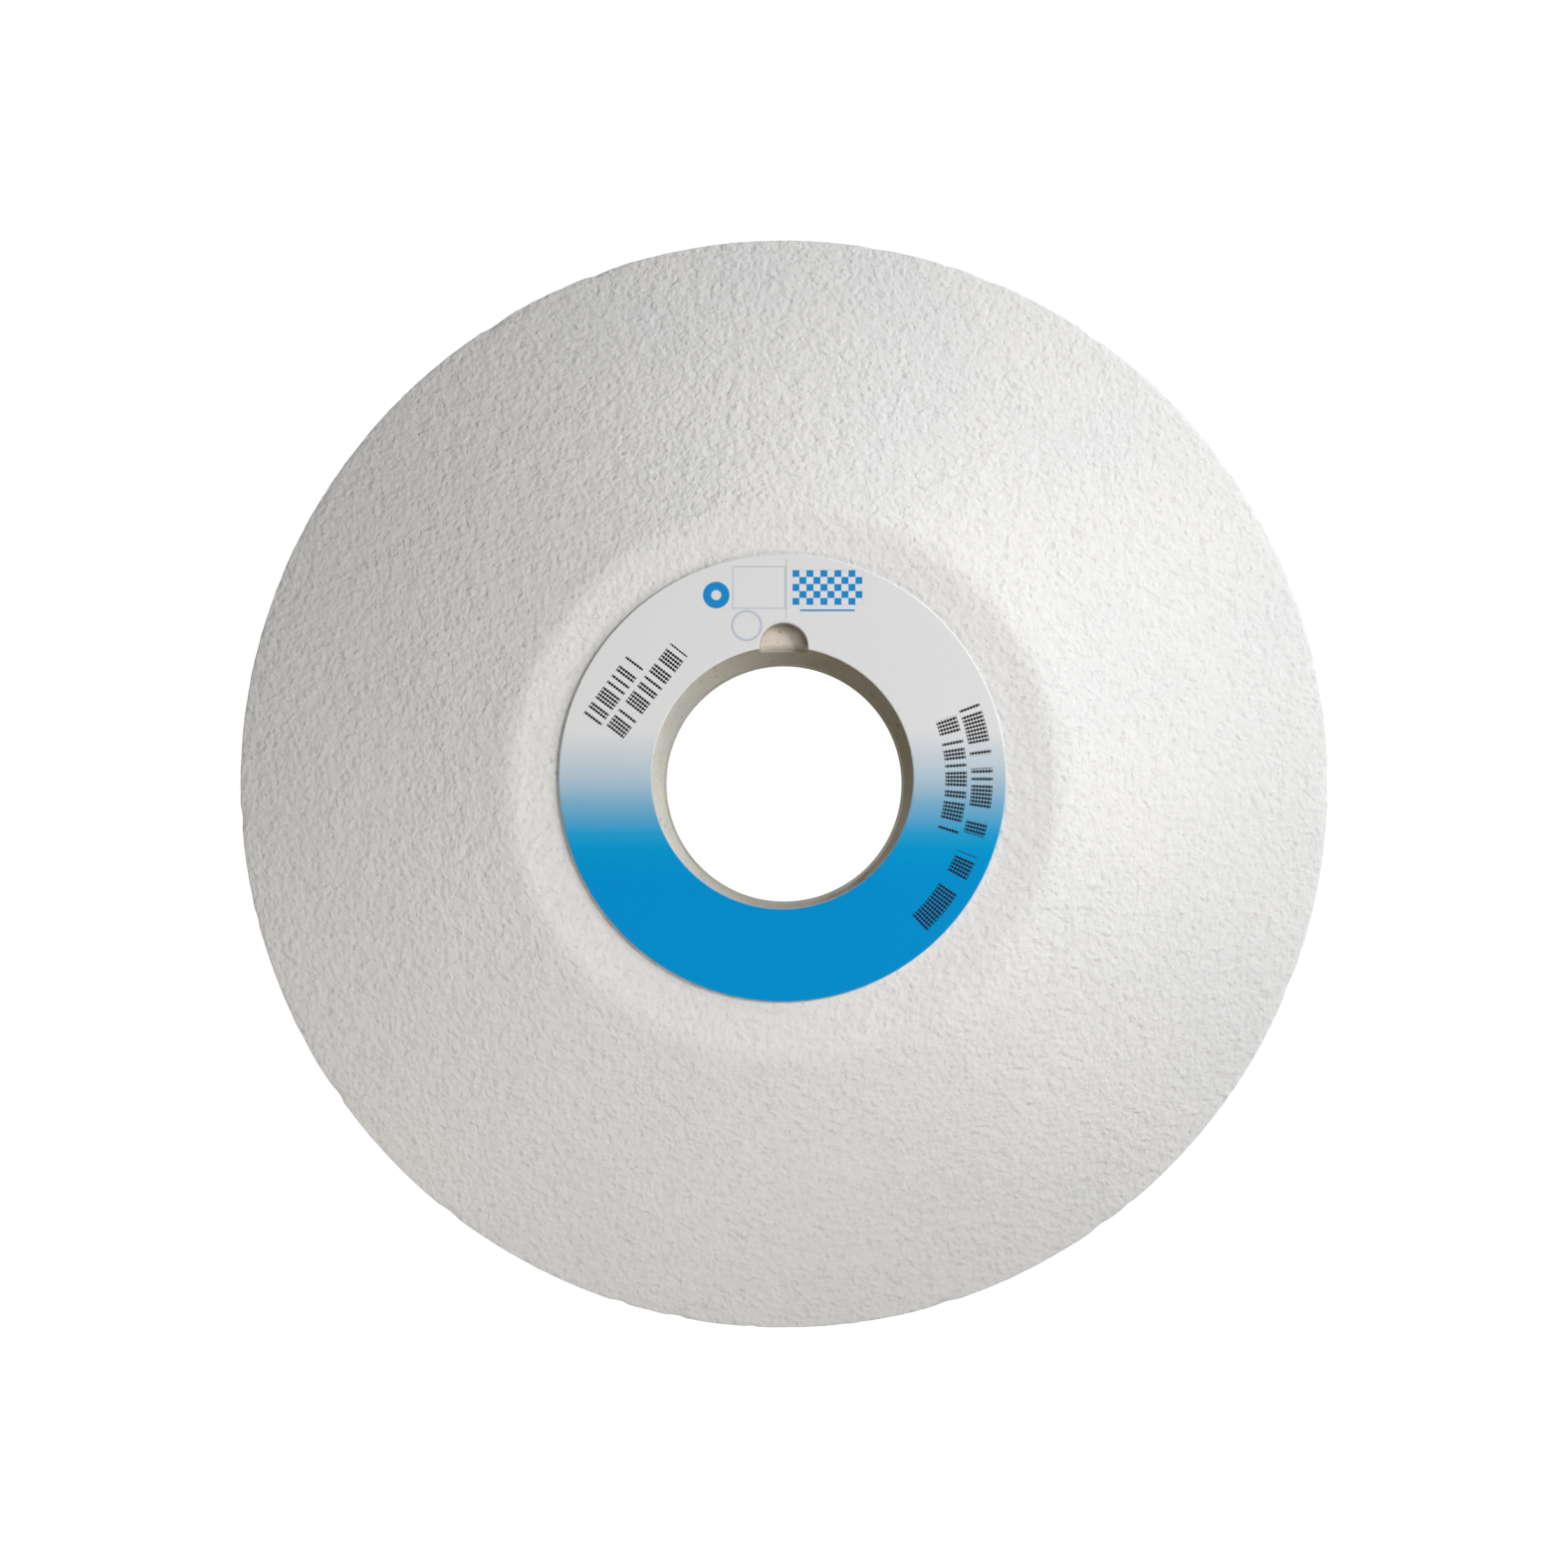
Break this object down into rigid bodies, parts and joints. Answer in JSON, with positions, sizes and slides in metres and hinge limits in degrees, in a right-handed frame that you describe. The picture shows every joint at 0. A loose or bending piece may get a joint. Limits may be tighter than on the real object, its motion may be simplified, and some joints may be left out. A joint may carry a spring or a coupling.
{
  "type": "dish grinding wheel",
  "caption": "Round vitrified dish grinding wheel: a flat hub with a bushed bore, a conical back, a dished grinding side and paper blotters on both seats.",
  "frame": {"origin": "on the bore's axis, in the plane of the hub's front face, under the printed label", "axes": "+Y is the wheel's axis, from the labelled front to the dished grinding side; +Z points at the half-round gate in the bore's edge"},
  "size_m": [0.15, 0.0206, 0.15],
  "materials": {
    "abrasive": "matte",
    "cast_bush": "matte",
    "printed_paper": "satin",
    "plain_paper": "matte"
  },
  "bodies": {
    "root": {"abrasive_body": "abrasive", "bore_bush": "cast_bush", "front_label": "printed_paper", "rear_blotter": "plain_paper"}
  },
  "joints": []
}
